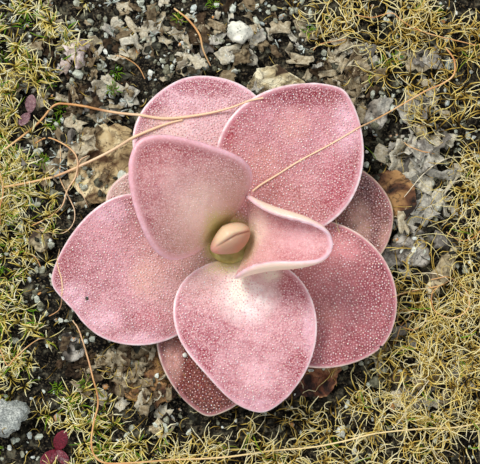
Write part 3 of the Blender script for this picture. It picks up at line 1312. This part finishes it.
straw = dict(
    material=straw_moss, template=strand, length=(0.0026, 0.0064), width=(0.00009, 0.00019),
    curl=1.8, lean=(50, 4), tint=(0.94, 0.22), green=0.02, bare=-0.10,
)
tufted = dict(
    material=olive_moss, template=short_strand, length=(0.0018, 0.0038), width=(0.00010, 0.00022),
    curl=0.6, lean=(52, 5), tint=(0.92, 0.18), green=0.14, bare=-0.08,
)
mats = (
    ("moss_front", 1900, 5, straw),
    ("moss_front_right", 1400, 5, straw),
    ("moss_right_front", 1500, 4, straw),
    ("moss_right", 1200, 3, straw | {"tint": (0.94, 0.20)}),
    ("moss_back_right", 800, 6, straw | {"tint": (0.80, 0.20)}),
    ("moss_back", 700, 6, straw),
    ("moss_back_left", 1500, 8, tufted),
    ("moss_left", 2700, 10, tufted),
    ("moss_left_front", 2100, 9, tufted),
    ("moss_front_left", 2000, 8, tufted),
)
for name, each, tuft, looks in mats:
    moss_mat(name, each, tuft, **looks)

# ---------------------------------------------------------------------------------------------
# Loose strands: single straws of moss, small tufts of them, and thin dead roots, between the mats and
# the rosette. In front on the right the longest curl into loops. Behind the plant, on the left, are
# pale crusty stars of lichen.
# ---------------------------------------------------------------------------------------------
STRAYS = 1200
UNDERGROWTH = 1300
LOOSE_TUFTS = 90
TUFT_STRANDS = 9
DEBRIS = 900
LOOPS = 150
LICHEN_STARS = 240
LICHEN_LOBES = 5
strewn_radius = mix_radius - 0.002


def loose_strands(name, places, template, length, width, curl, lean, tint, green=0.0, material=straw_moss):
    """Strands of any heading that lie on what is under them, and are sunk into it a little."""
    roots = np.column_stack((places, tops(places) - 0.0001))
    heading = rng.uniform(0, math.tau, len(places))
    mesh, along = bent_strands(template, roots, heading, curl, lean, (15, 15), length, width)
    tint_strands(mesh, along, len(places), *tint, green)
    make_piece(name, mesh, material, "moss")


def behind(places, slope, back):
    """The places behind a slanting line across the pot."""
    return places[places[:, 1] - slope * places[:, 0] > back]


def before(places, slope, back):
    """The places in front of a slanting line across the pot."""
    return places[places[:, 1] - slope * places[:, 0] < back]


loose_strands(
    "stray_strands", before(over_mix(STRAYS, 0.026, strewn_radius, fuller=-40), 0.5, 0.012), strand,
    length=(0.0020, 0.0064), width=(0.00006, 0.00012), curl=2.2, lean=(25, -5), tint=(0.78, 0.18), green=0.02,
)
loose_strands(
    "undergrowth", before(over_mix(UNDERGROWTH, 0.022, strewn_radius, fuller=-110), 0.5, 0.024), short_strand,
    length=(0.0014, 0.0034), width=(0.00008, 0.00016), curl=1.4, lean=(18, 2), tint=(0.46, 0.16),
)
tuft_places = np.repeat(patch_of(LOOSE_TUFTS, (-0.0370, 0.0060), (0.0060, 0.0150)), TUFT_STRANDS, axis=0)
loose_strands(
    "loose_tufts", tuft_places, short_strand,
    length=(0.0016, 0.0034), width=(0.00009, 0.00018), curl=0.6, lean=(50, 6), tint=(0.88, 0.20), green=0.1,
    material=olive_moss,
)
loose_strands(
    "debris_strands", behind(over_mix(DEBRIS, 0.022, strewn_radius, fuller=135), 1.0, 0.020), short_strand,
    length=(0.0010, 0.0030), width=(0.00007, 0.00015), curl=1.0, lean=(12, 0), tint=(0.62, 0.24),
)
loose_strands(
    "loops", patch_of(LOOPS, (0.0365, -0.0125), (0.0090, 0.0130)), long_strand,
    length=(0.0080, 0.0150), width=(0.00009, 0.00014), curl=4.0, lean=(20, -2), tint=(0.86, 0.12),
)

lichen_material, tree, shader = new_material("lichen", 0.85)
crust = ramp(
    tree, stored(tree, "tint"),
    (0.2, srgb(92, 98, 84)), (0.6, srgb(158, 168, 156)),
    (0.9, srgb(208, 218, 212)), (1.0, srgb(232, 238, 232)),
)
paint(tree, shader, crust)
stars = behind(over_mix(LICHEN_STARS, 0.026, strewn_radius, fuller=125), 0.6, 0.022)
loose_strands(
    "lichen_stars", np.repeat(stars, LICHEN_LOBES, axis=0), short_strand,
    length=(0.0008, 0.0018), width=(0.00014, 0.00026), curl=1.0, lean=(30, 10), tint=(0.92, 0.12),
    material=lichen_material,
)

# ---------------------------------------------------------------------------------------------
# Green tufts: young shoots of living moss, vivid green. They come up here and there, a score or so
# together, most of them behind the plant and on its left.
# ---------------------------------------------------------------------------------------------
SHOOTS_EACH = 22
STRAY_TUFTS = 24
TUFT_REACH = 0.0008  # half width of a tuft at its foot
green_shoots = (
    (-0.0362, 0.0395), (-0.0200, 0.0306), (-0.0300, 0.0240), (-0.0310, 0.0215), (-0.0330, 0.0145),
    (-0.0352, 0.0110), (-0.0270, -0.0275), (-0.0252, -0.0248), (-0.0226, -0.0362), (-0.0090, 0.0400),
    (-0.0205, 0.0272), (0.0300, 0.0330), (0.0180, -0.0350), (0.0350, -0.0310), (-0.0402, 0.0330),
    (-0.0420, -0.0310),
)
centres = np.concatenate((green_shoots, over_mix(STRAY_TUFTS, 0.034, mix_radius - 0.003)))
centres = np.repeat(centres, SHOOTS_EACH, axis=0)
count = len(centres)
heading = rng.uniform(0, math.tau, count)
apart = rng.uniform(0.0, TUFT_REACH, (count, 1))
places = centres + apart * np.column_stack((np.cos(heading), np.sin(heading)))
roots = np.column_stack((places, tops(places) - 0.0002))
mesh, along = bent_strands(
    short_strand, roots, heading, curl=0.3, lean=(66, 30), vary=(10, 15),
    length=(0.0009, 0.0018), width=(0.00010, 0.00018),
)
add_values(mesh, "tint", np.repeat(rng.uniform(0.0, 0.10, count), len(along)))
make_piece("green_shoots", mesh, olive_moss, "moss")

# ---------------------------------------------------------------------------------------------
# Seedlings: the tiny first leaves of two young butterworts, one dusky pink and one dark red. They
# have rooted in the mix on the left. Each leaf is a small copy of a grown one, narrower and thicker.
# ---------------------------------------------------------------------------------------------
GROWN_HEADING = 157  # of the grown leaf from its foot, in degrees
GROWN_FOOT = 0.0033  # distance of the grown leaf's foot from the axis
SEEDLING_SHAPE = (1.0, 0.72, 1.6)  # length, width and thickness, as shares of the grown leaf's
SEEDLING_FOOT = 0.0014  # height of the leaves' feet over the ground
dusky = Flesh(srgb(88, 44, 60), srgb(160, 122, 124), srgb(150, 140, 100), 1, dots=srgb(206, 184, 180))
dark_red = Flesh(srgb(48, 4, 16), srgb(122, 18, 44), srgb(90, 30, 30), 1, dots=srgb(176, 60, 84))
seedling_pink = leaf_material("dusky seedling", dusky)
seedling_red = leaf_material("dark red seedling", dark_red)


def rotation(degrees, axis="Z"):
    return Matrix.Rotation(math.radians(degrees), 4, axis)


def seedling(name, place, leaves, material):
    """A few tiny leaves round a place. Each is given by its heading in degrees, length and tilt."""
    low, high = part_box("leaf_low_left")
    foot = rotation(GROWN_HEADING) @ Vector((GROWN_FOOT, 0.0, (low.z + high.z) / 2))
    along_x = rotation(-GROWN_HEADING) @ Matrix.Translation(-foot)
    shaped = Matrix.Diagonal((*SEEDLING_SHAPE, 1.0)) @ along_x
    planted = Matrix.Translation((*place, tops([place])[0] + SEEDLING_FOOT))
    bm = bmesh.new()
    for heading, length, tilt in leaves:
        leaf = merged_copy("leaf_low_left")
        smaller = Matrix.Scale(length / (high - low).length, 4)
        whole = planted @ rotation(heading) @ rotation(-tilt, "Y") @ smaller @ shaped
        bmesh.ops.transform(leaf, matrix=whole, verts=leaf.verts)
        bm.from_mesh(finished(leaf, "seedling leaf"))
    mesh = subdivided(bm, 1)
    add_values(mesh, "face", np.ones(len(mesh.vertices)))
    add_values(mesh, "inside", np.full(len(mesh.vertices), 0.004))
    make_piece(name, mesh, material, "butterwort_leaf")


seedling("seedling_left", (-0.0353, 0.0231), ((78, 0.0044, 26), (236, 0.0038, 20)), seedling_pink)
red_leaves = ((64, 0.0056, 30), (226, 0.0050, 20), (-48, 0.0044, 16))
seedling("seedling_front_left", (-0.0302, -0.0362), red_leaves, seedling_red)

# ---------------------------------------------------------------------------------------------
# Dry fibres: orange rootlets that lie over the ground and across the leaves, on which they are pale
# and thin. They have bleached to cream in front. The long ones are stiff and bridge the dips, and the
# short ones follow what they cross.
# ---------------------------------------------------------------------------------------------
FIBRE_STEP = 0.0005  # distance between the points of a fibre
MOSS_STANDS = 0.0016  # height of the strands over their cushion
FADING = (0.028, 0.034)  # from the axis, between where the fibres are faded and where they are not
STIFF, LIMP = 50, 10  # passes that lift a fibre out of the dips it crosses
fibre_material, tree, shader = new_material("dry rootlet", 0.45)
fibre_colour = ramp(
    tree, cloud(tree, 0.004, 4.0),
    (0.3, srgb(182, 116, 64)), (0.5, srgb(220, 166, 106)), (0.7, srgb(238, 204, 154)),
)
flat = add(tree, "ShaderNodeVectorMath", {0: place_of(tree), 1: (1.0, 1.0, 0.0)}, operation="MULTIPLY")
from_axis = add(tree, "ShaderNodeVectorMath", {0: flat.outputs["Vector"]}, operation="LENGTH")
faded = between(tree, from_axis.outputs["Value"], *FADING, 0.85, 0.0)
fibre_colour = blended(tree, faded, fibre_colour, srgb(248, 216, 180))
axes = add(tree, "ShaderNodeSeparateXYZ", {"Vector": place_of(tree)}).outputs
on_the_right = between(tree, axes["X"], -0.018, 0.006)
in_front = between(tree, axes["Y"], -0.0290, -0.0310)
bleached = calc(tree, "MULTIPLY", on_the_right, in_front)
paint(tree, shader, blended(tree, bleached, fibre_colour, srgb(238, 214, 158)))
relief(tree, shader, (cloud(tree, 0.0003, 3.0), 0.00005))

pale_root, tree, shader = new_material("pale rootlet", 0.5)
mottling = cloud(tree, 0.003, 3.0)
paint(tree, shader, ramp(tree, mottling, (0.35, srgb(222, 202, 160)), (0.65, srgb(250, 240, 214))))

# All in millimetres. A long fibre has its radii, evenly spaced from end to end, and then its route.
long_routes = {
    "long_left": ((0.17, 0.21, 0.25, 0.15), (
        (-39.5, 16.5), (-33.8, 21.5), (-31.1, 24.5), (-28.5, 24.7), (-24.0, 23.8), (-18.7, 22.8),
        (-11.9, 21.5), (-6.0, 22.0), (-0.2, 23.1), (3.5, 24.2), (6.4, 24.8),
    )),
    "straight_left": ((0.16, 0.22, 0.27, 0.18), (
        (-39.5, 9.8), (-34.3, 11.0), (-30.6, 11.9), (-26.0, 13.7), (-17.3, 17.8), (-11.2, 20.4), (-7.6, 21.4),
    )),
    "loop_left": ((0.12, 0.15, 0.12), (
        (-34.3, 17.8), (-31.9, 18.7), (-28.4, 17.0), (-26.7, 14.8), (-27.0, 11.8), (-28.5, 9.5), (-29.6, 6.5),
        (-32.4, 4.4), (-35.4, 3.0),
    )),
    "long_front": ((0.15, 0.16, 0.12), (
        (-27.5, -13.5), (-26.4, -15.2), (-24.9, -19.6), (-23.8, -23.5), (-22.9, -27.7), (-23.5, -31.3),
        (-23.8, -34.8), (-23.1, -37.1), (-21.2, -38.2), (-16.6, -38.2), (-10.0, -37.8), (-1.2, -37.3),
        (6.1, -36.4), (13.5, -35.7), (19.6, -34.5), (25.4, -33.1), (33.0, -32.4), (39.0, -32.2),
        (44.5, -31.2),
    )),
    "long_right": ((0.15, 0.13, 0.13, 0.16), (
        (38.0, 34.0), (39.3, 32.0), (39.3, 29.4), (37.4, 27.8), (34.1, 26.4), (28.7, 23.4), (23.6, 20.3),
        (17.7, 16.8), (12.4, 14.0), (8.5, 11.6), (5.2, 9.6), (3.8, 8.4),
    )),
    "back": ((0.16, 0.19, 0.12), ((-9.8, 42.0), (-7.2, 39.7), (-5.3, 37.1), (-4.6, 34.3), (-3.0, 31.0))),
}
THIN_RADII = (0.08, 0.11, 0.08)
thin_routes = (
    (
        (-29.9, 17.5), (-29.8, 14.0), (-29.9, 11.6), (-28.5, 8.6), (-27.3, 5.8), (-27.7, 3.3), (-29.9, 1.8),
        (-34.5, 2.6),
    ),
    ((-24.9, 15.4), (-26.4, 14.2), (-26.6, 10.3), (-25.6, 8.2), (-24.7, 6.1)),
    ((22.2, 40.0), (25.2, 39.6), (28.5, 40.4), (30.1, 39.4), (33.5, 37.5), (36.8, 36.2), (43.9, 34.5)),
    ((-29.9, -0.9), (-29.9, -3.7), (-29.1, -6.7), (-29.1, -9.3), (-29.9, -11.6), (-32.2, -13.0)),
    ((-40.0, -17.9), (-38.5, -21.4), (-37.4, -20.3), (-35.2, -18.2), (-33.4, -16.8), (-31.9, -16.6)),
    ((14.5, 33.8), (15.9, 35.4), (19.3, 36.1), (22.1, 36.4)),
    ((30.6, 18.2), (31.9, 16.8), (34.1, 16.0), (36.8, 15.8)),
    ((-20.6, 33.6), (-18.4, 33.0), (-16.2, 31.6), (-14.8, 29.0)),
    ((-40.2, 12.6), (-39.6, 9.0), (-40.2, 5.6), (-40.0, 2.0)),
    ((28.4, -9.6), (31.0, -8.6), (34.0, -8.0), (37.0, -7.4), (40.2, -5.6)),
    ((29.2, -17.6), (30.2, -14.4), (32.4, -12.4), (30.4, -11.6), (29.6, -13.8), (32.2, -15.2), (34.8, -13.2)),
    (
        (35.4, -6.4), (38.6, -6.0), (41.4, -8.0), (41.6, -11.4), (38.8, -13.2), (35.8, -11.8), (35.6, -8.6),
        (38.0, -7.0),
    ),
    ((38.4, 2.2), (40.8, 0.6), (43.2, 1.2), (44.6, 3.6)),
    ((-38.8, -2.0), (-36.4, -1.4), (-34.2, -2.4), (-33.0, -4.6)),
)
PALE_RADII = (0.06, 0.08, 0.05)
pale_routes = (
    ((34.6, -24.0), (32.0, -27.5), (29.9, -30.6), (27.8, -32.7)),
    ((35.5, -36.0), (37.8, -38.3), (40.6, -40.0)),
    ((34.1, -35.7), (39.0, -36.6), (41.5, -39.4)),
    ((29.6, -6.2), (33.4, -5.2), (37.4, -5.8), (41.0, -9.0), (44.0, -9.8)),
    ((30.8, 8.2), (34.6, 12.6), (39.0, 15.2), (43.2, 15.4)),
)


def smooth_line(route):
    """A route in millimetres as closely spaced points on a smooth curve through it."""
    points = [Vector((x / 1000, y / 1000)) for x, y in route]
    points = [2 * points[0] - points[1], *points, 2 * points[-1] - points[-2]]
    line = []
    for a, b, c, d in zip(points, points[1:], points[2:], points[3:]):
        steps = max(2, round((c - b).length / FIBRE_STEP))
        for t in (i / steps for i in range(steps)):
            bend = (2 * a - 5 * b + 4 * c - d) * t**2 + (3 * b - a - 3 * c + d) * t**3
            line.append(0.5 * (2 * b + (c - a) * t + bend))
    return np.array([tuple(point) for point in line])


cushion_trees = [search_tree(node.data) for name, node in frame["nodes"].items() if name.startswith("moss")]


def over_cushions(line):
    """Which points of a line are over a moss cushion."""
    down = Vector((0.0, 0.0, -1.0))
    return np.array([
        any(tree.ray_cast(Vector((x, y, 0.2)), down)[0] for tree in cushion_trees) for x, y in line
    ])


def fibres(name, material, routes, passes, *stands_for):
    """Fibres that rest on what they cross, from (radii, route) pairs. More passes make them stiffer."""
    curve = bpy.data.curves.new(name, "CURVE")
    curve.dimensions = "3D"
    curve.bevel_depth = 0.001
    curve.bevel_resolution = 1
    curve.use_fill_caps = True
    for radii, route in routes:
        line = smooth_line(route)
        radius = np.interp(np.linspace(0, 1, len(line)), np.linspace(0, 1, len(radii)), radii)
        rest = tops(line, *leaf_trees, *cushion_trees) + radius / 1000 + over_cushions(line) * MOSS_STANDS
        height = rest.copy()
        for _ in range(passes):
            height[1:-1] = np.maximum(rest[1:-1], (height[:-2] + height[2:]) / 2)
        spline = curve.splines.new("POLY")
        spline.points.add(len(line) - 1)
        spline.points.foreach_set("co", np.column_stack((line, height, np.ones(len(line)))).ravel())
        spline.points.foreach_set("radius", radius)
    holder = bpy.data.objects.new(name, curve)
    scene.collection.objects.link(holder)
    mesh = bpy.data.meshes.new_from_object(holder.evaluated_get(bpy.context.evaluated_depsgraph_get()))
    bpy.data.objects.remove(holder)
    make_piece(name, mesh, material, "dry_fibre", *stands_for)


for name, fibre in long_routes.items():
    fibres(f"rootlet_{name}", fibre_material, [fibre], STIFF, f"fibre_{name}")
fibres("rootlets_thin", fibre_material, [(THIN_RADII, route) for route in thin_routes], LIMP)
fibres("rootlets_pale", pale_root, [(PALE_RADII, route) for route in pale_routes], LIMP)

# ---------------------------------------------------------------------------------------------
# Specks: two grains of soil and one yellow grain that have landed on the leaves, and stick to the
# drops there.
# ---------------------------------------------------------------------------------------------
places = np.array([(-0.0247, -0.0098), (0.0263, -0.0182), (-0.0077, -0.0196)])
sizes = np.array([0.00032, 0.00026, 0.00050])
tints = (0.25, 0.05, 0.80)
points = np.column_stack((places, tops(places, *leaf_trees) + 0.5 * sizes))
mesh = scattered(round_bit, points, random_up(len(points), 0.2), sizes)
add_values(mesh, "tint", np.repeat(tints, len(round_bit.vertices)))
make_piece("specks", mesh, crumb_material, "peat_mix")

low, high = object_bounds()
sizes = {"cad": [list(cad_low), list(cad_high)], "visual": [list(low), list(high)]}
